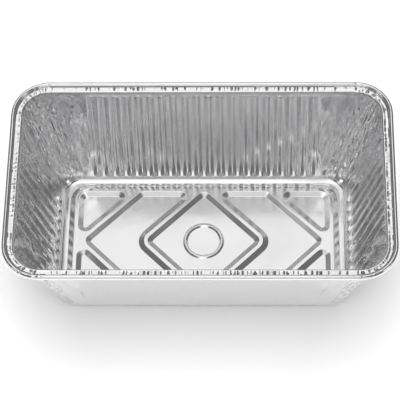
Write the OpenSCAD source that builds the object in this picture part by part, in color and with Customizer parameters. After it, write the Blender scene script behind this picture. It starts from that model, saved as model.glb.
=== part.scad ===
// Pressed foil drip pan: one sheet with a fluted, gathered wall, an embossed floor and a rolled rim.
// The origin is under the middle of the foot, +X along the pan, +Z up, in millimetres.

/* [Overall] */
// Length over the rolled rim
length = 200; // [196:1:220]
// Width over the rolled rim
width = 118; // [114:1:140]
// Height from the foot to the top of the rolled rim
height = 67.5; // [50:0.5:90]
// Thickness of the foil
gauge = 0.1; // [0.08:0.01:0.2]

/* [Floor] */
// Length of the floor, to where the wall starts
floor_l = 153.4; // [148:0.2:164]
// Width of the floor, to where the wall starts
floor_w = 78.4; // [76:0.2:88]
// Radius of the floor's corners
floor_r = 10; // [8:0.5:12]
// Rise of the bend between the floor and the wall
heel = 2; // [1:0.1:3]
// How far the bend reaches in over the floor
heel_w = 1; // [0.5:0.1:1.5]

/* [Rim] */
// Width of the flat flange between the wall and the roll
flange_w = 3.2; // [2:0.1:5]
// Diameter of the rolled edge
roll_d = 2.8; // [2:0.1:4]
// How far the roll stands above the flange
roll_lift = 1.6; // [0.8:0.1:1.8]
// Radius of the mouth's corners, inside the flange
mouth_r = 14; // [11:0.5:18]
// Height of the crimps that the corners press into the flange
crimp = 0.15; // [0:0.05:0.25]
// Distance from the mouth to the middle of the crimps
crimp_x = 1.8; // [1:0.1:1.9]
// How far the flange reaches over the wall's top edge, into the mouth
lip = 0.3; // [0.1:0.1:0.5]

/* [Flutes] */
// Number of flutes on each long wall
long_flutes = 20; // [12:2:20]
// Number of flutes on each end wall
end_flutes = 8; // [4:1:8]
// Distance from one flute to the next
flute_pitch = 6.16; // [5.6:0.02:6.4]
// Width of a flute's flat back
flute_w = 0.8; // [0.4:0.1:1.2]
// Width of a flute's sloping side
flute_side = 2; // [1:0.1:2.2]
// Depth of a flute
flute_depth = 0.8; // [0.3:0.05:1.2]
// Distance from the flange down to the flutes' upper ends
flute_head = 2.6; // [1.5:0.1:6]
// Height over which a flute's upper end runs out
flute_fade = 2.4; // [1:0.1:5]

/* [Gathers] */
// Number of gathers in each corner
gathers = 9; // [5:2:9]
// Depth of the gathers high on the wall
gather_depth = 0.6; // [0.2:0.05:0.8]
// Depth of the gathers at the wall's foot
gather_low = 0.1; // [0:0.05:0.2]
// Depth of the gathers where they meet the flange
gather_lip = 0.2; // [0:0.05:0.3]

/* [Embossing] */
// Width of the flat foot along the edge of the floor
foot_w = 3.5; // [2:0.1:5]
// Radius of the foot's inner corners
step_r = 10; // [8:0.1:11]
// Width of the slope from the foot up to the ribs
step_w = 2.9; // [1.5:0.1:4]
// Width of the rib around all the panels
border_w = 1.8; // [1:0.1:4]
// Height of the ribs over the foot
rib_h = 1.3; // [0.8:0.1:2]
// Width of the ribs between the panels
rib_w = 1.7; // [1:0.1:4]
// Height of the panels over the foot
panel_h = 0.3; // [0.1:0.1:0.6]
// Width of the slope around a panel
slope_w = 3; // [1:0.1:3.5]
// Radius of the panels' corners
panel_r = 4.2; // [3.6:0.1:5]
// Radius of the corner panels' outer corners
corner_r = 5.8; // [3.6:0.1:7]
// Half the diagonal of the middle panel
diamond = 32.1; // [24:0.1:33]
// Width of the bent panels beside it
chevron_w = 22; // [14:0.1:23]
// Diameter of the round bead in the middle panel
bead_d = 22; // [12:1:26]
// Width of the round bead
bead_w = 2.4; // [1.5:0.1:4]
// Height of the round bead
bead_h = 0.6; // [0.2:0.1:1]

/* [Hidden] */
$fn = 32;
// How far past a surface a cutting shape runs, and how much wider a panel's hollow is there
over = 0.5;
widen = over * slope_w / (rib_h - panel_h);
rim_w = flange_w + roll_d;
flange_z = height - roll_lift;
mouth_l = length - 2 * rim_w;
mouth_w = width - 2 * rim_w;
// The wall's top edge ends inside the flange's foil
wall_top = flange_z - gauge / 3;
// Radius of the roll to the middle of its foil, and its centre's distance from the mouth and height
roll_r = (roll_d - gauge) / 2;
roll_x = flange_w + roll_d / 2;
roll_z = height - roll_d / 2;
// Each flute is four points across: the edge of a side, both edges of the back and the other side
flute_edges = [
    [-flute_w / 2 - flute_side, 0], [-flute_w / 2, 1], [flute_w / 2, 1], [flute_w / 2 + flute_side, 0]
];
// Half the length and width of the field that holds all the panels
field_x = floor_l / 2 - foot_w - step_w - border_w;
field_y = floor_w / 2 - foot_w - step_w - border_w;
// Half the length and width of the foot's inner edge
foot_x = floor_l / 2 - foot_w;
foot_y = floor_w / 2 - foot_w;
// The panels are bounded by diagonals, each given by where it crosses the X axis
chevron_in = diamond + rib_w * sqrt(2);
chevron_out = chevron_in + chevron_w * sqrt(2);
corner_in = chevron_out + rib_w * sqrt(2);

function mix(a, b, t) = a + (b - a) * t;

// Half length, half width and corner radius of the wall's inner face at height z
function wall_at(z) = [
    mix(floor_l, mouth_l, z / flange_z) / 2,
    mix(floor_w, mouth_w, z / flange_z) / 2,
    mix(floor_r, mouth_r, z / flange_z)
];

// Points along a straight side: place along it, and how far the flute's profile reaches out there
function flute_knots(count) = [
    for (i = [0:count - 1]) for (edge = flute_edges) [(i - (count - 1) / 2) * flute_pitch + edge[0], edge[1]]
];

// Points around a corner: angle, and 1 on the crest of a gather
corner_knots = [for (i = [0:2 * gathers]) [90 * i / (2 * gathers), i % 2]];

// The same for the rim. They lie half a step further round, so that the wall's edges pass between the flange's.
rim_knots = concat([[0, 0]], [for (i = [0:2 * gathers - 1]) [90 * (i + 0.5) / (2 * gathers), i % 2]], [[90, 0]]);

// One closed loop round the pan, as [x, y, z] points. size is [half length, half width, corner radius],
// out moves it outwards, flute and gather are the depths there, and lift raises the crests of the gathers.
function loop(size, z, out = 0, flute = 0, gather = 0, lift = 0, fluted = true) = [
    for (side = [0:3])
        let (normal = [cos(90 * side), sin(90 * side)],
             along = [-normal[1], normal[0]],
             across = size[side % 2],
             run = size[1 - side % 2] - size[2],
             knots = fluted ? flute_knots(side % 2 == 0 ? end_flutes : long_flutes) : [],
             centre = normal * (across - size[2]) + along * run)
        each concat(
            [for (k = knots) let (p = normal * (across + out + flute * k[1]) + along * k[0]) [p[0], p[1], z]],
            [for (k = fluted ? corner_knots : rim_knots)
                let (reach = size[2] + out + gather * k[1],
                     p = centre + reach * [cos(90 * side + k[0]), sin(90 * side + k[0])])
                [p[0], p[1], z + lift * k[1]]])
];

// Triangles between one loop of n points and the next, wound to face away from the foil. The way back along the
// foil's other face is flipped, so that both faces are split along the same diagonals and stay one gauge apart.
function band(from, to, n, flip = false) = [
    for (i = [0:n - 1])
        let (j = (i + 1) % n)
        each flip
            ? [[from * n + i, from * n + j, to * n + i], [from * n + j, to * n + j, to * n + i]]
            : [[from * n + i, to * n + j, to * n + i], [from * n + i, from * n + j, to * n + j]]
];

// The wall's levels from the heel up: height, share of the flutes' depth, depth of the gathers
wall_levels = [
    [heel, 1, gather_low],
    [flange_z - flute_head - flute_fade, 1, gather_depth],
    [flange_z - flute_head, 0, gather_depth],
    [wall_top, 0, gather_lip]
];

// The wall's loops on one face of the foil, from the floor up
function wall_loops(out, rise) = concat(
    [loop(wall_at(0), rise, out = out - heel_w)],
    [for (v = wall_levels)
        loop(wall_at(v[0]), min(v[0] + rise, wall_top), out = out, flute = v[1] * flute_depth, gather = v[2])]
);

// The wall and a flat floor, as one closed sheet
module cup() {
    inner = wall_loops(out = 0, rise = gauge);
    outer = wall_loops(out = gauge, rise = 0);
    count = 2 * len(inner);
    loops = [for (i = [0:count - 1]) i < len(inner) ? inner[i] : outer[count - 1 - i]];
    n = len(inner[0]);
    polyhedron(
        points = [for (l = loops) each l],
        faces = concat(
            [for (i = [0:count - 2]) each band(i, i + 1, n, flip = i >= len(inner))],
            [[for (i = [n - 1:-1:0]) i]],
            [[for (i = [0:n - 1]) (count - 1) * n + i]]));
}

// The rim's profile through the middle of the foil: distance out from the mouth, height, share of the crimps.
// It runs out along the flange, up into the roll and round it until it is tucked in underneath.
rim_path = concat(
    [for (k = [[-lip, 0], [crimp_x, 1], [roll_x - roll_r, 0]]) [k[0], flange_z - gauge / 2, k[1]]],
    [for (a = [135:-45:-135]) [roll_x + roll_r * cos(a), roll_z + roll_r * sin(a), 0]]
);

// The rim's profile moved by shift across the foil, towards its upper and outer side
function rim_face(shift) = [
    for (i = [0:len(rim_path) - 1])
        let (step = rim_path[min(i + 1, len(rim_path) - 1)] - rim_path[max(i - 1, 0)],
             along = [step[0], step[1]] / norm([step[0], step[1]]))
        [rim_path[i][0] - along[1] * shift, rim_path[i][1] + along[0] * shift, rim_path[i][2]]
];

// The flange and the rolled edge, as one closed ring of foil
module rim() {
    upper = rim_face(gauge / 2);
    lower = rim_face(-gauge / 2);
    count = 2 * len(upper);
    section = [for (i = [0:count - 1]) i < len(upper) ? upper[i] : lower[count - 1 - i]];
    loops = [
        for (s = section) loop(wall_at(flange_z), s[1], out = s[0], lift = crimp * s[2], fluted = false)
    ];
    n = len(loops[0]);
    polyhedron(
        points = [for (l = loops) each l],
        faces = [for (i = [0:count - 1]) each band(i, (i + 1) % count, n, flip = i >= len(upper))]);
}

// A convex block or hollow with round corners and sloping sides, from height z1 to z2.
// Each of corners is [x, y, radius], and the outline is moved out by out1 at z1 and by out2 at z2.
module sloped(corners, out1, out2, z1, z2) {
    hull()
        for (c = corners)
            translate([c[0], c[1], z1]) cylinder(h = z2 - z1, r1 = c[2] + out1, r2 = c[2] + out2, $fn = 16);
}

// The corners of a diamond of half diagonal d, rounded to radius r
function diamond_corners(d, r) = [for (a = [0:90:270]) let (c = d - r * sqrt(2)) [c * cos(a), c * sin(a), r]];

// The corners of a rectangle of half size x by y, rounded to radius r
function box_corners(x, y, r) = [for (i = [-1, 1]) for (j = [-1, 1]) [i * (x - r), j * (y - r), r]];

// The hollow over a sunken panel, whose outline at the ribs' tops has the given corners
module hollow(corners) {
    sloped(corners, -slope_w, widen, panel_h, rib_h + over);
}

// The shapes it is given, and their mirror image
module mirrored(axis) {
    children();
    mirror(axis) children();
}

// One arm of a bent panel, from the X axis to the +Y edge of the field
module chevron_arm() {
    near = chevron_in + panel_r * sqrt(2);
    far = chevron_out - panel_r * sqrt(2);
    top = field_y - panel_r;
    hollow([for (c = [[near, 0], [far, 0], [near - top, top], [far - top, top]]) concat(c, panel_r)]);
}

// The two bent panels. Their inner bend keeps the rib round the diamond at one width: the bend is filled, and one
// block cuts it and both arms. The block is a little wider than the rib, and the fill's 30 sides have no edge on it.
module chevrons() {
    bend_r = panel_r + rib_w;
    difference() {
        mirrored([1, 0, 0]) {
            mirrored([0, 1, 0]) chevron_arm();
            translate([chevron_in + slope_w * sqrt(2), 0, panel_h])
                cylinder(h = rib_h - panel_h + over, r = bend_r + slope_w + 1, $fn = 30);
        }
        sloped(diamond_corners(chevron_in + 0.05, bend_r), slope_w + widen, 0, panel_h - over, rib_h);
    }
}

// The corner panel on the +X +Y side
module corner_panel() {
    x = field_x - panel_r;
    y = field_y - panel_r;
    diagonal = corner_in + panel_r * sqrt(2);
    hollow([
        [field_x - corner_r, field_y - corner_r, corner_r],
        [diagonal - y, y, panel_r],
        [x, diagonal - x, panel_r]
    ]);
}

// Everything from z = base up to the surface of the embossed floor, which is raised by lift
module embossing(base, lift) {
    difference() {
        hull() {
            sloped(box_corners(foot_x, foot_y, step_r), 0, 0, base, lift);
            sloped(box_corners(foot_x, foot_y, step_r), 0, -step_w, lift, lift + rib_h);
        }
        translate([0, 0, lift]) {
            hollow(diamond_corners(diamond, panel_r));
            chevrons();
            mirrored([1, 0, 0]) mirrored([0, 1, 0]) corner_panel();
        }
    }
    bead(base, lift + panel_h);
}

// A round bead, solid down to z = base, that stands up from the level z = from
module bead(base, from) {
    r = (bead_d - bead_w) / 2;
    rotate_extrude()
        polygon([[r - bead_w / 2, base], [r - bead_w / 2, from], [r - bead_w / 5, from + bead_h],
            [r + bead_w / 5, from + bead_h], [r + bead_w / 2, from], [r + bead_w / 2, base]]);
}

// The pan: the wall, the rim and the embossed floor, hollow underneath like the sheet that it is pressed from
module pan() {
    color("silver") difference() {
        union() {
            cup();
            rim();
            embossing(base = 0, lift = gauge);
        }
        embossing(base = -over, lift = 0);
    }
}

pan();
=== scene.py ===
import math
import random
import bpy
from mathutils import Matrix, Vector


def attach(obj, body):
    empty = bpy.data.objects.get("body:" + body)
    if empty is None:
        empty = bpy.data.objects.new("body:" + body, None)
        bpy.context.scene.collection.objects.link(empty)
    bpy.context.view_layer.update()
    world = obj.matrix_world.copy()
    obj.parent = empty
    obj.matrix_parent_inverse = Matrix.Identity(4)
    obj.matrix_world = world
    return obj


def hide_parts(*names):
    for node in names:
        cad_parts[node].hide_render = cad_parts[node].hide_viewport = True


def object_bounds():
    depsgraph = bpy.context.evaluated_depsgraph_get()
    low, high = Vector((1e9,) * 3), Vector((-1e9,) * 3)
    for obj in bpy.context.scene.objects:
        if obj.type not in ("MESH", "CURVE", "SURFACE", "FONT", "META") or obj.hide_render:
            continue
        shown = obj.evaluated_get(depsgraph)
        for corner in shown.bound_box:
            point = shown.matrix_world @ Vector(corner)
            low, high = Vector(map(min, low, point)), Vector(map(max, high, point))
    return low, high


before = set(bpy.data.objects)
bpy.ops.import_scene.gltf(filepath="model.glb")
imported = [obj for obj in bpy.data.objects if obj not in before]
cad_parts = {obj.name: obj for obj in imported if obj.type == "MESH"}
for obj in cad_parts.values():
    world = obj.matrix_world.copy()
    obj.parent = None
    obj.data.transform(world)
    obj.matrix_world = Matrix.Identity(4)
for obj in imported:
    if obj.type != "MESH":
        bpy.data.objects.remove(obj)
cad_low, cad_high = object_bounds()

from types import SimpleNamespace

import bmesh
import bpy
from bpy.props import FloatProperty, FloatVectorProperty, IntProperty, PointerProperty
from bpy.types import Operator, Panel, PropertyGroup
from mathutils import Matrix, Vector, noise

bl_info = {
    "name": "Foil drip pan",
    "version": (1, 0, 0),
    "blender": (4, 5, 0),
    "location": "3D View > Sidebar > Foil pan",
    "description": "A pressed foil pan with a fluted and gathered wall, an embossed floor and a rolled rim",
    "category": "Add Mesh",
}

MM = 0.001
# The sheet's points across one flute, as shares of half a pitch: on the land, along each side and on the back
FLUTE_KNOTS = (-1, -0.8, -0.69, -0.42, -0.18, -0.07, 0.07, 0.18, 0.42, 0.69, 0.8)
# How many points it has along each plain stretch beside the flutes and in a corner
LONG_PLAIN_POINTS = 20
END_PLAIN_POINTS = 14
CORNER_POINTS = 50
# The soft folds beside each corner: from where to where each runs, as shares of the way from the corner to the
# flutes and of the wall's height, its half width in millimetres and its depth as a share
FOLDS = (
    (0.40, 0.85, 0.97, 0.82, 2.0, 1.0),
    (0.34, 0.60, 0.88, 0.66, 1.8, -0.9),
    (0.90, 1.00, 0.64, 0.44, 2.0, 0.8),
    (0.70, 1.00, 0.48, 0.24, 1.5, -0.9),
    (0.30, 0.36, 0.76, 0.38, 1.4, -0.6),
)
# Width of the flat strip that is kept beside every pressed edge, in millimetres, so that the flats shade flat
STRIP = 0.3


def length(name, description, default):
    """A length property. Its default is given in millimetres."""
    return FloatProperty(name=name, description=description, default=default * MM, unit="LENGTH", precision=5)


class SheetSizes(PropertyGroup):
    """The foil sheet: its overall size, its floor and its rim."""

    length: FloatProperty(
        name="Length", description="Length over the rolled rim", default=cad_high.x - cad_low.x, unit="LENGTH"
    )
    width: FloatProperty(
        name="Width", description="Width over the rolled rim", default=cad_high.y - cad_low.y, unit="LENGTH"
    )
    height: FloatProperty(
        name="Height", description="Height to the top of the rim", default=cad_high.z - cad_low.z, unit="LENGTH"
    )
    gauge: length("Gauge", "Thickness of the foil", 0.1)
    floor_l: length("Floor length", "Length of the floor, to where the wall starts", 153.4)
    floor_w: length("Floor width", "Width of the floor, to where the wall starts", 78.4)
    floor_r: length("Floor corner", "Radius of the floor's corners", 10)
    heel: length("Heel", "Rise of the bend between the floor and the wall", 2)
    heel_w: length("Heel reach", "How far the bend reaches in over the floor", 1)
    tilt_w: length("Tilt reach", "Width of the foot's outer edge, which rises towards the wall", 2.7)
    tilt: length("Tilt", "Rise of the foot's outer edge", 0.4)
    mouth_r: length("Mouth corner", "Radius of the mouth's corners, inside the flange", 14)
    flange_w: length("Flange", "Width of the flat flange between the wall and the roll", 3.2)
    roll_d: length("Roll", "Diameter of the rolled edge", 2.8)
    roll_lift: length("Roll lift", "How far the roll stands above the flange", 1.6)


class FluteSizes(PropertyGroup):
    """The flutes that are pressed outwards in the straight stretches of the wall."""

    long_count: IntProperty(name="Long flutes", description="Flutes on each long wall", default=20)
    end_count: IntProperty(name="End flutes", description="Flutes on each end wall", default=8)
    pitch: length("Pitch", "Distance from one flute to the next", 6.16)
    land: length("Land", "Width of the flat strip between two flutes", 1.3)
    back: length("Back", "Width of a flute's flat back", 0.5)
    depth: length("Depth", "Depth of a flute", 1.0)
    head: length("Head", "Distance from the flange down to the flutes' round upper ends", 2.4)
    arch: length("Arch", "Height of a flute's round end", 1.9)
    foot: length("Foot", "Height of the flutes' lower ends above the floor", 2.2)
    toe: length("Toe", "Height of a flute's blunt lower end", 1.7)


class FoldSizes(PropertyGroup):
    """The soft folds, gathers and crimps that pressing leaves in the sheet."""

    drape: length("Drape folds", "Depth of the soft folds beside the corners", 1.7)
    gather: length("Gathers", "Depth of the gathers in the corners", 0.25)
    gathers: IntProperty(name="Gathers", description="Number of gathers in each corner", default=9)
    crease: length("Creases", "Depth of the sharp creases in the corners", 0.5)
    creases: IntProperty(name="Creases", description="Number of sharp creases in each corner", default=40)
    wave: length("Wave", "Depth of the slow waves in the wall", 0.12)
    crimp: length("Crimps", "Depth of the crimps across the flange", 0.42)
    seed: IntProperty(name="Seed", description="Start of the random folds", default=7)


class EmbossingSizes(PropertyGroup):
    """The ribs and the sunken panels of the floor."""

    foot_w: length("Foot", "Width of the flat foot along the edge of the floor", 3.5)
    step_r: length("Step corner", "Radius of the foot's inner corners", 10)
    step_w: length("Step", "Width of the slope from the foot up to the ribs", 2.9)
    border_w: length("Border", "Width of the rib around all the panels", 1.8)
    rib_h: length("Rib height", "Height of the ribs over the foot", 1.3)
    rib_w: length("Rib width", "Width of the ribs between the panels", 1.7)
    panel_h: length("Panel height", "Height of the panels over the foot", 0.3)
    slope_w: length("Slope", "Width of the slope around a panel", 3)
    panel_r: length("Panel corner", "Radius of the panels' corners", 4.2)
    corner_r: length("Outer corner", "Radius of the corner panels' outer corners", 5.8)
    diamond: length("Diamond", "Half the diagonal of the middle panel", 32.1)
    chevron_w: length("Bent panels", "Width of the bent panels", 22)
    bead_d: length("Bead", "Diameter of the round bead in the middle panel", 22)
    bead_w: length("Bead width", "Width of the round bead", 2.4)
    bead_h: length("Bead height", "Height of the round bead", 0.6)


class FoilLook(PropertyGroup):
    """The finish of the aluminium foil."""

    bright: FloatVectorProperty(
        name="Bright", description="Colour of the polished foil", subtype="COLOR", size=3, default=(0.95, 0.95, 0.955)
    )
    dull: FloatVectorProperty(
        name="Dull", description="Colour of the duller patches", subtype="COLOR", size=3, default=(0.90, 0.895, 0.90)
    )
    smooth: FloatProperty(name="Smooth", description="Roughness of the smoothest foil", default=0.12)
    rough: FloatProperty(name="Rough", description="Roughness of the dullest foil", default=0.22)
    ripple: length("Ripple", "Depth of the slow ripples of the flat foil", 0.16)
    crinkle: length("Crinkle", "Depth of the fine crinkles", 0.03)
    crumple: length("Crumple", "Depth of the fine folds of the gathered foil", 1.4)
    rolling: length("Rolling lines", "Depth of the lines left by the rolling mill", 0.003)


class StudioSettings(PropertyGroup):
    """The camera, the lights and the floor under the pan."""

    elevation: FloatProperty(
        name="Elevation", description="Angle of the view above the floor", subtype="ANGLE", default=math.radians(59.34)
    )
    yaw: FloatProperty(
        name="Yaw", description="Turn of the view round the pan", subtype="ANGLE", default=math.radians(3.154)
    )
    roll: FloatProperty(name="Roll", description="Tilt of the view", subtype="ANGLE", default=math.radians(-2.728))
    distance: length("Distance", "Distance from the camera to the pan's origin", 1050.2)
    right: length("Right", "Place of the camera to the right of the origin", -0.849)
    up: length("Up", "Place of the camera above the line to the origin", 22.53)
    lens: FloatProperty(name="Lens", description="Focal length in millimetres", default=174.85)
    backdrop: FloatVectorProperty(
        name="Floor", description="Colour of the floor", subtype="COLOR", size=3, default=(0.92, 0.92, 0.92)
    )
    room: FloatProperty(name="Room", description="Brightness of the room around the pan", default=0.14)
    back_light: FloatProperty(name="Back light", description="Brightness of the soft box behind the pan", default=0.88)
    upper_light: FloatProperty(name="Upper light", description="Brightness of the soft box above it", default=0.78)
    top_light: FloatProperty(name="Top light", description="Brightness of the soft box over the pan", default=1.25)
    dim_light: FloatProperty(name="Dim light", description="Brightness of the narrow box past the top", default=0.5)
    over_light: FloatProperty(name="Over light", description="Brightness of the box beyond it", default=1.05)
    side_light: FloatProperty(name="Side light", description="Brightness of the narrow box on each side", default=1.4)
    front_light: FloatProperty(
        name="Front light", description="Brightness of the soft box on the camera's side", default=0.7
    )
    floor_light: FloatProperty(
        name="Floor light", description="Brightness of the wide light that only the floor takes", default=2.3
    )


def in_mm(group):
    """The values of a property group, with its lengths in millimetres."""
    values = {}
    for name, prop in group.bl_rna.properties.items():
        if name in ("rna_type", "name"):
            continue
        value = getattr(group, name)
        values[name] = value / MM if getattr(prop, "unit", "NONE") == "LENGTH" else value
    return SimpleNamespace(**values)


def mix(a, b, share):
    return a + (b - a) * share


def clamp(value, low=0.0, high=1.0):
    return max(low, min(high, value))


def eased(share, soft=0.2):
    """A ramp from 0 to 1 that is straight in the middle and rounded over a share soft at both ends."""
    share = clamp(share)
    slope = 1 / (1 - soft)
    if share < soft:
        return slope * share * share / (2 * soft)
    if share > 1 - soft:
        return 1 - slope * (1 - share) ** 2 / (2 * soft)
    return slope * (share - soft / 2)


def arch(share):
    """The outline of a quarter circle: 0 at 0, steep there, and level at 1."""
    share = clamp(share)
    return math.sqrt(1 - (1 - share) ** 2)


class Wall:
    """The wall's form: where each point of the perimeter lies at each height, and how it is pressed."""

    def __init__(self, sheet, flutes, folds):
        self.sheet = sheet
        self.flutes = flutes
        self.folds = folds
        self.rim_w = sheet.flange_w + sheet.roll_d
        self.flange_z = sheet.height - sheet.roll_lift
        self.points = list(self.perimeter())
        self.measure()
        self.lines = [list(self.fold_lines(k, random.Random(folds.seed * 10 + k))) for k in range(4)]
        self.crimps = self.crimp_depths(random.Random(folds.seed))

    def size(self, z):
        """Half length, half width and corner radius of the wall at height z."""
        s = self.sheet
        share = z / self.flange_z
        return (
            mix(s.floor_l, s.length - 2 * self.rim_w, share) / 2,
            mix(s.floor_w, s.width - 2 * self.rim_w, share) / 2,
            mix(s.floor_r, s.mouth_r, share),
        )

    def perimeter(self):
        """The points of the perimeter, once round: side, kind and place in its stretch."""
        for side in range(4):
            on_end = side % 2 == 0
            count = self.flutes.end_count if on_end else self.flutes.long_count
            plain = END_PLAIN_POINTS if on_end else LONG_PLAIN_POINTS
            for i in range(plain, 0, -1):
                yield SimpleNamespace(side=side, kind="plain", sign=-1, share=i / plain)
            for i in range(count):
                for knot in FLUTE_KNOTS:
                    along = (i + 0.5 - count / 2 + knot / 2) * self.flutes.pitch
                    across = abs(knot) * self.flutes.pitch / 2
                    yield SimpleNamespace(side=side, kind="flute", sign=0, along=along, across=across)
            for i in range(plain + 1):
                yield SimpleNamespace(side=side, kind="plain", sign=1, share=i / plain)
            for i in range(1, CORNER_POINTS):
                yield SimpleNamespace(side=side, kind="corner", sign=1, share=i / CORNER_POINTS)

    def place(self, point, z, out):
        """Where a point of the perimeter lies at height z, moved outwards by out."""
        half_l, half_w, radius = self.size(z)
        turn = point.side * math.pi / 2
        normal = Vector((math.cos(turn), math.sin(turn)))
        along = Vector((-normal.y, normal.x))
        on_end = point.side % 2 == 0
        across, reach = (half_l, half_w) if on_end else (half_w, half_l)
        run = reach - radius
        if point.kind == "corner":
            angle = turn + point.share * math.pi / 2
            heading = Vector((math.cos(angle), math.sin(angle)))
            spot = normal * (across - radius) + along * run + heading * (radius + out)
        else:
            count = self.flutes.end_count if on_end else self.flutes.long_count
            fluted = count * self.flutes.pitch / 2
            place = point.along if point.kind == "flute" else point.sign * mix(fluted, run, point.share)
            spot = normal * (across + out) + along * place
        return Vector((spot.x, spot.y, z))

    def measure(self):
        """Gives each point its way round at half height, and its way from the nearest corner's middle."""
        middle = self.flange_z / 2
        spots = [self.place(p, middle, 0) for p in self.points]
        way = 0.0
        for i, point in enumerate(self.points):
            point.way = way
            way += (spots[(i + 1) % len(spots)] - spots[i]).length
        self.round = way
        half_arc = self.size(middle)[2] * math.pi / 4
        for point, spot in zip(self.points, spots):
            if point.kind == "flute":
                point.corner = None
            elif point.kind == "corner":
                point.corner = point.side
                point.off = (2 * point.share - 1) * half_arc
            else:
                point.corner = point.side if point.sign > 0 else (point.side - 1) % 4
                edge = self.place(SimpleNamespace(side=point.side, kind="plain", sign=point.sign, share=1), middle, 0)
                point.off = -point.sign * ((spot - edge).length + half_arc)

    def fold_lines(self, corner, rng):
        """The folds of one corner: where each runs, from its upper to its lower end, and its form."""
        top = self.flange_z
        half_l, half_w, radius = self.size(top / 2)
        half_arc = radius * math.pi / 4
        for flank in (-1, 1):
            on_end = (corner + (flank > 0)) % 2 == 0
            count = self.flutes.end_count if on_end else self.flutes.long_count
            plain = (half_w if on_end else half_l) - radius - count * self.flutes.pitch / 2
            for start, end, high, low, reach, depth in FOLDS:
                shift = rng.uniform(-0.06, 0.06)
                yield SimpleNamespace(
                    upper=flank * (half_arc + (start + shift) * plain), lower=flank * (half_arc + (end + shift) * plain),
                    top=high * top, foot=(low + shift) * top, reach=reach * rng.uniform(0.8, 1.2), sharp=False,
                    depth=self.folds.drape * depth * rng.uniform(0.8, 1.1),
                )
        for _ in range(self.folds.creases):
            upper = rng.uniform(-12, 12)
            high = rng.uniform(0.25, 1.0) * top
            yield SimpleNamespace(
                upper=upper, lower=upper * 0.94 + rng.uniform(-2.2, 2.2), top=high,
                foot=max(2.5, high - rng.uniform(9, 20)), reach=rng.uniform(0.6, 1.2), sharp=True,
                depth=self.folds.crease * rng.uniform(0.4, 1.0) * rng.choice((-1, 1)),
            )

    def crimp_depths(self, rng):
        """How deep the flange is crimped at each point: short dents with plain foil between them."""
        depths = []
        for point in self.points:
            in_corner = point.corner is not None and abs(point.off) < 13
            crowded = 0.45 + 0.9 * noise.noise(Vector((point.way * 0.12, 5.0, 1.0)))
            dented = rng.random() < (0.9 if in_corner else crowded)
            depth = rng.uniform(0.55, 1.0)
            beside = bool(depths) and depths[-1] > 0
            depths.append(0.0 if beside or not dented else depth)
        return depths

    def flute(self, point, z):
        """How far the flutes reach out at a point of the wall."""
        f = self.flutes
        share = min((self.flange_z - f.head - z) / f.arch, (z - f.foot) / f.toe)
        if share <= 0:
            return 0.0
        half = (f.pitch - f.land) / 2 * arch(share)
        side = half - f.back / 2
        profile = eased((half - point.across) / max(side, 0.01), 0.14)
        return f.depth * min(1.0, share) * profile

    def gathered(self, point, z):
        """How far the folds and creases of the nearest corner push a point of the wall."""
        push = 0.0
        for line in self.lines[point.corner]:
            share = (line.top - z) / (line.top - line.foot)
            if not 0 < share < 1:
                continue
            distance = abs(point.off - mix(line.upper, line.lower, share)) / line.reach
            if line.sharp:
                push += line.depth * max(0.0, 1 - distance) * min(1.0, 5 * share, 5 * (1 - share))
            else:
                push += line.depth * math.exp(-distance * distance) * math.sin(math.pi * share)
        half_arc = self.size(self.flange_z / 2)[2] * math.pi / 4
        inside = clamp((half_arc + 3 - abs(point.off)) / 4)
        swell = clamp(z / self.flange_z * 2.2) * mix(1.0, 0.4, clamp((z - 0.8 * self.flange_z) / (0.2 * self.flange_z)))
        beat = math.cos(math.pi * self.folds.gathers * point.off / half_arc)
        return push + self.folds.gather * beat * inside * swell

    def out(self, point, z):
        """How far the wall stands out from its plain form at a point."""
        lift = clamp(z / 4) * clamp((self.flange_z - z) / 3)
        wave = noise.noise(Vector((point.way * 0.07, z * 0.05, 3.0))) * self.folds.wave
        press = self.flute(point, z) if point.kind == "flute" else self.gathered(point, z) * lift
        return press + wave * lift


def wall_levels(wall):
    """The heights of the wall's rows, close together where the flutes end."""
    foot = wall.flutes.foot
    top = wall.flange_z - wall.flutes.head
    low = [foot + wall.flutes.toe * share for share in (0, 0.25, 0.6, 1)]
    high = [top - wall.flutes.arch * share for share in (1, 0.7, 0.4, 0.15, 0)]
    start, end, count = low[-1] + 1.5, high[0] - 1.2, 12
    middle = [mix(start, end, i / count) for i in range(count + 1)]
    return low + middle + high + [top + 0.8, wall.flange_z - 0.7]


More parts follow.
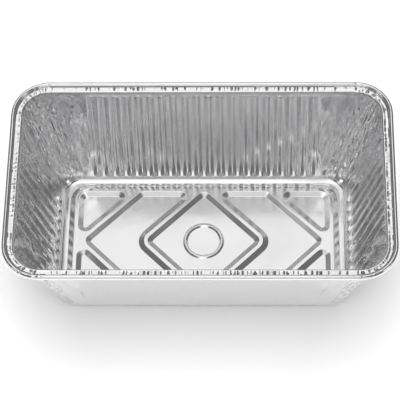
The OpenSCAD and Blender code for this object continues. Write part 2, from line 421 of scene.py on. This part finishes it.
def sheet_rows(wall):
    """The rows of the sheet from the foot to the tucked edge, each a function that places a point."""
    s = wall.sheet
    ground = s.gauge / 2
    rows = []
    for inward, rise in ((s.tilt_w + STRIP, 0), (s.tilt_w, 0.01), (s.tilt_w - 0.2, 0.03), (0.8 * s.heel_w, s.tilt)):
        rows.append(lambda p, i, inward=inward, rise=rise: wall.place(p, 0, -inward) + Vector((0, 0, ground + rise)))
    for share in (0.55, 0.75, 1.0):
        inward = s.heel_w * (1 - share) ** 2
        rise = s.heel * share * share
        rows.append(
            lambda p, i, inward=inward, rise=rise: wall.place(p, rise, wall.out(p, rise) - inward)
            + Vector((0, 0, ground * (1 - rise / s.heel)))
        )
    for z in wall_levels(wall):
        rows.append(lambda p, i, z=z: wall.place(p, z, wall.out(p, z)))

    flat = wall.flange_z - s.gauge / 2
    for out, drop, share in (
        (0.05, 0.25, 0), (0.22, 0.06, 0), (0.7, 0, 0.2), (1.3, 0, 1), (2.4, 0, 1), (3.0, 0, 0.3)
    ):
        rows.append(
            lambda p, i, out=out, drop=drop, share=share: wall.place(p, wall.flange_z, out)
            + Vector((0, 0, flat - wall.flange_z - drop - wall.folds.crimp * wall.crimps[i] * share))
        )

    centre = s.flange_w + s.roll_d / 2
    height = s.height - s.roll_d / 2
    radius = (s.roll_d - s.gauge) / 2
    steps = 9
    for k in range(steps + 1):
        angle = math.radians(mix(170, -150, k / steps))

        def roll(p, i, angle=angle):
            dent = 0.03 + 0.03 * noise.noise(Vector((p.way * 0.15, angle, 9.0)))
            if p.kind == "corner":
                dent += 0.12 * wall.crimps[i]
            r = radius - dent
            spot = wall.place(p, wall.flange_z, centre + r * math.cos(angle))
            spot.z = height + r * math.sin(angle)
            return spot

        rows.append(roll)
    return rows


def open_mesh(obj):
    """Opens a mesh in edit mode with nothing selected."""
    bpy.ops.object.select_all(action="DESELECT")
    bpy.context.view_layer.objects.active = obj
    obj.select_set(True)
    bpy.ops.object.mode_set(mode="EDIT")
    bpy.ops.mesh.select_mode(type="VERT")
    bpy.ops.mesh.select_all(action="DESELECT")
    return bmesh.from_edit_mesh(obj.data)


def close_mesh():
    bpy.ops.object.mode_set(mode="OBJECT")


def raise_sheet(wall):
    """The wall and the rim: one loop of edges round the foot, extruded row by row and placed by the wall's form."""
    bpy.ops.object.select_all(action="DESELECT")
    bpy.ops.mesh.primitive_circle_add(vertices=len(wall.points), radius=1, fill_type="NOTHING", location=(0, 0, 0))
    obj = bpy.context.active_object
    obj.name = "foil_pan"
    obj.data.name = "foil_pan"
    station = obj.data.attributes.new("station", "INT", "POINT")
    station.data.foreach_set("value", list(range(1, len(wall.points) + 1)))
    obj.data.attributes.new("row", "INT", "POINT")
    open_mesh(obj)
    bpy.ops.mesh.select_all(action="SELECT")
    for number, row in enumerate(sheet_rows(wall)):
        if number:
            bpy.ops.mesh.extrude_region()
        bm = bmesh.from_edit_mesh(obj.data)
        stations = bm.verts.layers.int["station"]
        numbers = bm.verts.layers.int["row"]
        for vert in bm.verts:
            if vert.select:
                i = vert[stations] - 1
                vert.co = row(wall.points[i], i)
                vert[numbers] = number
        bmesh.update_edit_mesh(obj.data)
    close_mesh()
    return obj


def rounded(corners, grow=0.0):
    """A closed outline with arcs for corners. Each corner is (x, y, radius), anticlockwise; grow moves it outwards."""
    outline = []
    count = len(corners)
    for k in range(count):
        x, y, radius = corners[k]
        spot = Vector((x, y))
        back = (Vector(corners[k - 1][:2]) - spot).normalized()
        ahead = (Vector(corners[(k + 1) % count][:2]) - spot).normalized()
        turn = math.pi - back.angle(ahead)
        hollow = back.x * ahead.y - back.y * ahead.x > 0
        middle = (back + ahead).normalized()
        centre = spot + middle * radius / math.cos(turn / 2)
        reach = radius - grow if hollow else radius + grow
        steps = max(2, math.ceil(math.degrees(turn) / 9))
        facing = math.atan2(-middle.y, -middle.x)
        for i in range(steps + 1):
            bend = (i / steps - 0.5) * turn * (-1 if hollow else 1)
            outline.append((centre.x + reach * math.cos(facing + bend), centre.y + reach * math.sin(facing + bend)))
    return outline


def circle(radius, count=64):
    return [(radius * math.cos(math.tau * i / count), radius * math.sin(math.tau * i / count)) for i in range(count)]


def slope(width, rise):
    """Steps of a pressed slope with a flat strip on both sides: how far in and how far up each goes."""
    soft = 0.07
    stops = [0, soft, 1 - soft, 1]
    steps = [(STRIP, 0.0)]
    for a, b in zip(stops, stops[1:]):
        steps.append((width * (b - a), rise * (eased(b, soft) - eased(a, soft))))
    steps.append((STRIP, 0.0))
    return steps


def press(obj, outline, z, steps, keep=True):
    """Adds a flat face and insets it step by step. The last face inside is kept or left open."""
    bm = open_mesh(obj)
    bpy.ops.mesh.select_mode(type="FACE")
    face = bm.faces.new([bm.verts.new((x, y, z)) for x, y in outline])
    face.normal_update()
    if face.normal.z < 0:
        face.normal_flip()
    face.select_set(True)
    bmesh.update_edit_mesh(obj.data)
    for inward, rise in steps:
        bpy.ops.mesh.inset(thickness=inward, depth=rise, use_even_offset=True, use_boundary=True)
    if not keep:
        bpy.ops.mesh.delete(type="ONLY_FACE")
    close_mesh()


def mirrored(corners, flip_x, flip_y):
    """The same corners on another side of the floor, still anticlockwise."""
    flipped = [((-x if flip_x else x), (-y if flip_y else y), r) for x, y, r in corners]
    return flipped[::-1] if flip_x != flip_y else flipped


def emboss_floor(obj, sheet, e):
    """The floor's ribs, panels and bead, pressed from flat faces."""
    ground = sheet.gauge / 2
    foot_x = sheet.floor_l / 2 - e.foot_w
    foot_y = sheet.floor_w / 2 - e.foot_w
    foot = [(foot_x, foot_y, e.step_r), (-foot_x, foot_y, e.step_r), (-foot_x, -foot_y, e.step_r), (foot_x, -foot_y, e.step_r)]
    press(obj, rounded(foot, STRIP), ground, slope(e.step_w, e.rib_h), keep=False)

    field_x = foot_x - e.step_w - e.border_w
    field_y = foot_y - e.step_w - e.border_w
    chevron_in = e.diamond + e.rib_w * math.sqrt(2)
    chevron_out = chevron_in + e.chevron_w * math.sqrt(2)
    corner_in = chevron_out + e.rib_w * math.sqrt(2)
    ribs = ground + e.rib_h
    sink = slope(e.slope_w, e.panel_h - e.rib_h)

    diamond = [(e.diamond, 0, e.panel_r), (0, e.diamond, e.panel_r), (-e.diamond, 0, e.panel_r), (0, -e.diamond, e.panel_r)]
    press(obj, rounded(diamond, STRIP), ribs, sink, keep=False)
    chevron = [
        (chevron_in, 0, e.panel_r + e.rib_w),
        (chevron_in - field_y, -field_y, e.panel_r),
        (chevron_out - field_y, -field_y, e.panel_r),
        (chevron_out, 0, e.panel_r),
        (chevron_out - field_y, field_y, e.panel_r),
        (chevron_in - field_y, field_y, e.panel_r),
    ]
    corner = [
        (field_x, field_y, e.corner_r),
        (corner_in - field_y, field_y, e.panel_r),
        (field_x, corner_in - field_x, e.panel_r),
    ]
    for flip_x in (False, True):
        press(obj, rounded(mirrored(chevron, flip_x, False), STRIP), ribs, sink)
        for flip_y in (False, True):
            press(obj, rounded(mirrored(corner, flip_x, flip_y), STRIP), ribs, sink)

    up = slope(e.bead_w * 0.4, e.bead_h)[1:-1]
    down = [(inward, -rise) for inward, rise in up]
    bead = [(STRIP, 0.0)] + up + [(e.bead_w * 0.2, 0.0)] + down + [(STRIP, 0.0)]
    press(obj, circle(e.bead_d / 2 + STRIP), ground + e.panel_h, bead)


def fill_level(obj, z):
    """Fills the flat between all the open edges at height z."""
    bm = open_mesh(obj)
    bpy.ops.mesh.select_mode(type="EDGE")
    for edge in bm.edges:
        level = all(abs(v.co.z - z) < 0.01 for v in edge.verts)
        edge.select_set(level and len(edge.link_faces) < 2)
    bmesh.update_edit_mesh(obj.data)
    bpy.ops.mesh.fill(use_beauty=True)
    close_mesh()


def unwrap(obj, wall):
    """A UV map that runs round the wall and up it, in metres, and lies flat on the floor."""
    mesh = obj.data
    count = max(v.value for v in mesh.attributes["row"].data) + 1
    heights = [0.0] * count
    rows = sheet_rows(wall)
    sample = next(i for i, p in enumerate(wall.points) if p.kind == "corner")
    spots = [row(wall.points[sample], sample) for row in rows]
    for k in range(1, count):
        heights[k] = heights[k - 1] + (spots[k] - spots[k - 1]).length
    bm = bmesh.new()
    bm.from_mesh(mesh)
    stations = bm.verts.layers.int["station"]
    numbers = bm.verts.layers.int["row"]
    uv = bm.loops.layers.uv.get("UVMap") or bm.loops.layers.uv.new("UVMap")
    last = len(wall.points)
    for face in bm.faces:
        ids = [v[stations] for v in face.verts]
        on_wall = all(ids)
        wraps = on_wall and max(ids) == last and min(ids) == 1 and len(ids) == 4
        for loop in face.loops:
            if on_wall and len(ids) == 4:
                i = loop.vert[stations] - 1
                way = wall.points[i].way + (wall.round if wraps and i == 0 else 0)
                loop[uv].uv = (way * MM, heights[loop.vert[numbers]] * MM)
            else:
                loop[uv].uv = (loop.vert.co.x * MM, loop.vert.co.y * MM)
    strength = bm.verts.layers.float.new("gathered")
    for vert in bm.verts:
        i = vert[stations] - 1
        if i >= 0:
            point = wall.points[i]
            base = 0.3 if point.side % 2 == 0 and point.kind != "corner" else 0.0
            near = clamp((12.5 - abs(point.off)) / 3.5) if point.corner is not None else 0.0
            edge = clamp((vert.co.z - 3) / 6) * mix(1.0, 0.2, clamp((vert.co.z - wall.flange_z + 3) / 3))
            vert[strength] = max(base, near) * edge
    bm.to_mesh(mesh)
    bm.free()
    for name in ("station", "row"):
        mesh.attributes.remove(mesh.attributes[name])


def thicken(obj, gauge):
    """Gives the sheet its gauge, brings it from millimetres to metres and smooths its shading."""
    open_mesh(obj)
    bpy.ops.mesh.select_all(action="SELECT")
    bpy.ops.mesh.normals_make_consistent(inside=False)
    close_mesh()
    wall = obj.modifiers.new("Gauge", "SOLIDIFY")
    wall.thickness = gauge
    wall.offset = 0
    wall.use_rim = True
    bpy.ops.object.modifier_apply(modifier=wall.name)
    obj.scale = (MM, MM, MM)
    bpy.ops.object.transform_apply(location=True, rotation=True, scale=True)
    bpy.ops.object.shade_smooth_by_angle(angle=math.radians(50))


class Nodes:
    """A short way to build a node tree: each call adds a node, sets its values and links its inputs."""

    def __init__(self, tree):
        self.tree = tree
        tree.nodes.clear()

    def add(self, kind, values=None, **settings):
        node = self.tree.nodes.new(kind)
        for name, value in settings.items():
            setattr(node, name, value)
        for name, value in (values or {}).items():
            socket = node.inputs[name]
            if isinstance(value, bpy.types.NodeSocket):
                self.tree.links.new(value, socket)
            else:
                socket.default_value = value
        return node


def foil_finish(look):
    """Rolled aluminium: soft ripples, fine crinkles that follow the wall in the corners, and rolling lines."""
    material = bpy.data.materials.new("rolled_foil")
    material.use_nodes = True
    nodes = Nodes(material.node_tree)
    place = nodes.add("ShaderNodeTexCoord")
    flow = nodes.add("ShaderNodeUVMap", uv_map="UVMap")
    gathered = nodes.add("ShaderNodeAttribute", attribute_name="gathered")

    patches = nodes.add("ShaderNodeTexNoise", {"Vector": place.outputs["Object"], "Scale": 38, "Detail": 3})
    tint = nodes.add(
        "ShaderNodeMix",
        {"Factor": patches.outputs["Factor"] if "Factor" in patches.outputs else patches.outputs["Fac"]},
        data_type="RGBA",
    )
    tint.inputs["A"].default_value = (*look.bright, 1)
    tint.inputs["B"].default_value = (*look.dull, 1)
    dulling = nodes.add(
        "ShaderNodeMapRange",
        {"Value": patches.outputs["Fac"], "From Min": 0.3, "From Max": 0.7, "To Min": look.smooth, "To Max": look.rough},
    )

    ripples = nodes.add("ShaderNodeTexNoise", {"Vector": place.outputs["Object"], "Scale": 55, "Detail": 1})
    ripple = nodes.add(
        "ShaderNodeBump", {"Height": ripples.outputs["Fac"], "Strength": 1.0, "Distance": look.ripple}
    )
    crinkles = nodes.add("ShaderNodeTexNoise", {"Vector": place.outputs["Object"], "Scale": 420, "Detail": 2})
    crinkle = nodes.add(
        "ShaderNodeBump",
        {"Height": crinkles.outputs["Fac"], "Strength": 0.5, "Distance": look.crinkle * 0.4, "Normal": ripple.outputs["Normal"]},
    )
    drift = nodes.add("ShaderNodeTexNoise", {"Vector": place.outputs["Object"], "Scale": 160, "Detail": 2})
    bent = nodes.add(
        "ShaderNodeVectorMath",
        {0: drift.outputs["Color"], 1: (0.003, 0.003, 0), 2: flow.outputs["UV"]},
        operation="MULTIPLY_ADD",
    )
    stretch = nodes.add("ShaderNodeMapping", {"Vector": bent.outputs["Vector"], "Scale": (420, 120, 1)})
    cells = nodes.add(
        "ShaderNodeTexVoronoi", {"Vector": stretch.outputs["Vector"], "Scale": 1}, feature="DISTANCE_TO_EDGE"
    )
    held = nodes.add(
        "ShaderNodeMath", {0: cells.outputs["Distance"], 1: gathered.outputs["Fac"]}, operation="MULTIPLY"
    )
    streak = nodes.add(
        "ShaderNodeBump",
        {"Height": held.outputs["Value"], "Strength": 1.0, "Distance": look.crumple, "Normal": crinkle.outputs["Normal"]},
    )
    mill = nodes.add("ShaderNodeMapping", {"Vector": place.outputs["Object"], "Scale": (20, 900, 900)})
    lines = nodes.add("ShaderNodeTexNoise", {"Vector": mill.outputs["Vector"], "Scale": 1, "Detail": 2})
    rolled = nodes.add(
        "ShaderNodeBump",
        {"Height": lines.outputs["Fac"], "Strength": 0.6, "Distance": look.rolling, "Normal": streak.outputs["Normal"]},
    )
    shader = nodes.add(
        "ShaderNodeBsdfPrincipled",
        {
            "Base Color": tint.outputs["Result"],
            "Metallic": 1.0,
            "Roughness": dulling.outputs["Result"],
            "Normal": rolled.outputs["Normal"],
        },
    )
    nodes.add("ShaderNodeOutputMaterial", {"Surface": shader.outputs["BSDF"]})
    return material


class FOILPAN_OT_pan(Operator):
    """Press the pan: raise the wall and rim, emboss the floor, give the foil its gauge and finish"""

    bl_idname = "foilpan.pan"
    bl_label = "Press the pan"

    def execute(self, context):
        scene = context.scene
        sheet = in_mm(scene.foilpan_sheet)
        wall = Wall(sheet, in_mm(scene.foilpan_flutes), in_mm(scene.foilpan_folds))
        embossing = in_mm(scene.foilpan_embossing)
        pan = raise_sheet(wall)
        emboss_floor(pan, sheet, embossing)
        ground = sheet.gauge / 2
        for level in (0, embossing.rib_h, embossing.panel_h):
            fill_level(pan, ground + level)
        unwrap(pan, wall)
        thicken(pan, sheet.gauge)
        pan.data.materials.append(foil_finish(scene.foilpan_look))
        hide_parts("pan")
        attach(pan, "root")
        return {"FINISHED"}


def soft_light(name, azimuth, low, high, width, distance, brightness):
    """A soft box that faces the pan. It spans the elevations from low to high at this azimuth, 0 being behind."""
    low, high, azimuth = (math.radians(angle) for angle in (low, high, azimuth))
    middle = (low + high) / 2
    heading = Vector((
        math.sin(azimuth) * math.cos(middle), math.cos(azimuth) * math.cos(middle), math.sin(middle)
    ))
    bpy.ops.object.select_all(action="DESELECT")
    bpy.ops.object.light_add(type="AREA", location=heading * distance)
    light = bpy.context.active_object
    light.name = name
    light.data.shape = "RECTANGLE"
    light.data.size = width
    light.data.size_y = 2 * distance * math.tan((high - low) / 2)
    light.data.energy = brightness * math.pi * light.data.size * light.data.size_y
    light.rotation_euler = (-heading).to_track_quat("-Z", "Y").to_euler()
    return light


class FOILPAN_OT_studio(Operator):
    """Set up the studio: the pale floor, the soft lights and the camera"""

    bl_idname = "foilpan.studio"
    bl_label = "Set up the studio"

    def execute(self, context):
        scene = context.scene
        studio = scene.foilpan_studio
        bpy.ops.object.select_all(action="DESELECT")
        bpy.ops.mesh.primitive_plane_add(size=8, location=(0, 0, 0))
        floor = context.active_object
        floor.name = "studio_floor"
        paint = bpy.data.materials.new("pale_floor")
        paint.use_nodes = True
        nodes = Nodes(paint.node_tree)
        shader = nodes.add("ShaderNodeBsdfDiffuse", {"Color": (*studio.backdrop, 1)})
        nodes.add("ShaderNodeOutputMaterial", {"Surface": shader.outputs["BSDF"]})
        floor.data.materials.append(paint)

        world = bpy.data.worlds.new("studio_room")
        world.use_nodes = True
        air = Nodes(world.node_tree)
        glow = air.add("ShaderNodeBackground", {"Color": (1, 1, 1, 1), "Strength": studio.room})
        air.add("ShaderNodeOutputWorld", {"Surface": glow.outputs["Background"]})
        scene.world = world
        scene.view_settings.view_transform = "Standard"

        for name, low, high, width, brightness in (
            ("back_light", 34, 57, 0.7, studio.back_light), ("upper_light", 57, 76, 0.6, studio.upper_light),
            ("top_light", 76, 84, 0.5, studio.top_light), ("dim_light", 84, 93, 0.42, studio.dim_light),
            ("over_light", 93, 122, 0.46, studio.over_light),
        ):
            light = soft_light(name, 0, low, high, width, 1.2, brightness)
            light.location.x = -0.07
        soft_light("left_light", -110, 22, 48, 0.3, 1.2, studio.side_light)
        soft_light("right_light", 110, 22, 48, 0.3, 1.2, studio.side_light)
        soft_light("front_light", 180, 18, 50, 1.2, 1.2, studio.front_light)
        wide = soft_light("floor_light", 0, 48, 126, 3.2, 2.4, studio.floor_light)
        wide.visible_glossy = False

        back = Vector((
            math.sin(studio.yaw) * math.cos(studio.elevation),
            -math.cos(studio.yaw) * math.cos(studio.elevation),
            math.sin(studio.elevation),
        ))
        right = Vector((math.cos(studio.yaw), math.sin(studio.yaw), 0))
        up = back.cross(right)
        place = back * studio.distance + right * studio.right + up * studio.up
        bpy.ops.object.camera_add(location=place)
        camera = context.active_object
        camera.name = "studio_camera"
        tilt = Matrix.Rotation(studio.roll, 4, "Z")
        camera.matrix_world = Matrix.Translation(place) @ Matrix((right, up, back)).transposed().to_4x4() @ tilt
        camera.data.lens = studio.lens
        camera.data.sensor_width = 36
        camera.data.clip_start = 0.01
        scene.camera = camera
        return {"FINISHED"}


class FOILPAN_PT_panel(Panel):
    """The pan's pieces and its studio, in the sidebar"""

    bl_idname = "FOILPAN_PT_panel"
    bl_label = "Foil drip pan"
    bl_space_type = "VIEW_3D"
    bl_region_type = "UI"
    bl_category = "Foil pan"

    def draw(self, context):
        for operator, groups in (
            (FOILPAN_OT_pan, ("foilpan_sheet", "foilpan_flutes", "foilpan_folds", "foilpan_embossing", "foilpan_look")),
            (FOILPAN_OT_studio, ("foilpan_studio",)),
        ):
            box = self.layout.box()
            for group in groups:
                values = getattr(context.scene, group)
                for name in values.__annotations__:
                    box.prop(values, name)
            box.operator(operator.bl_idname)


GROUPS = {
    "foilpan_sheet": SheetSizes,
    "foilpan_flutes": FluteSizes,
    "foilpan_folds": FoldSizes,
    "foilpan_embossing": EmbossingSizes,
    "foilpan_look": FoilLook,
    "foilpan_studio": StudioSettings,
}
OPERATORS = (FOILPAN_OT_pan, FOILPAN_OT_studio)


def register():
    for name, group in GROUPS.items():
        bpy.utils.register_class(group)
        setattr(bpy.types.Scene, name, PointerProperty(type=group))
    for operator in OPERATORS:
        bpy.utils.register_class(operator)
    bpy.utils.register_class(FOILPAN_PT_panel)


def unregister():
    bpy.utils.unregister_class(FOILPAN_PT_panel)
    for operator in reversed(OPERATORS):
        bpy.utils.unregister_class(operator)
    for name, group in GROUPS.items():
        delattr(bpy.types.Scene, name)
        bpy.utils.unregister_class(group)


def main():
    register()
    bpy.ops.foilpan.pan()
    bpy.ops.foilpan.studio()


if __name__ == "__main__":
    main()
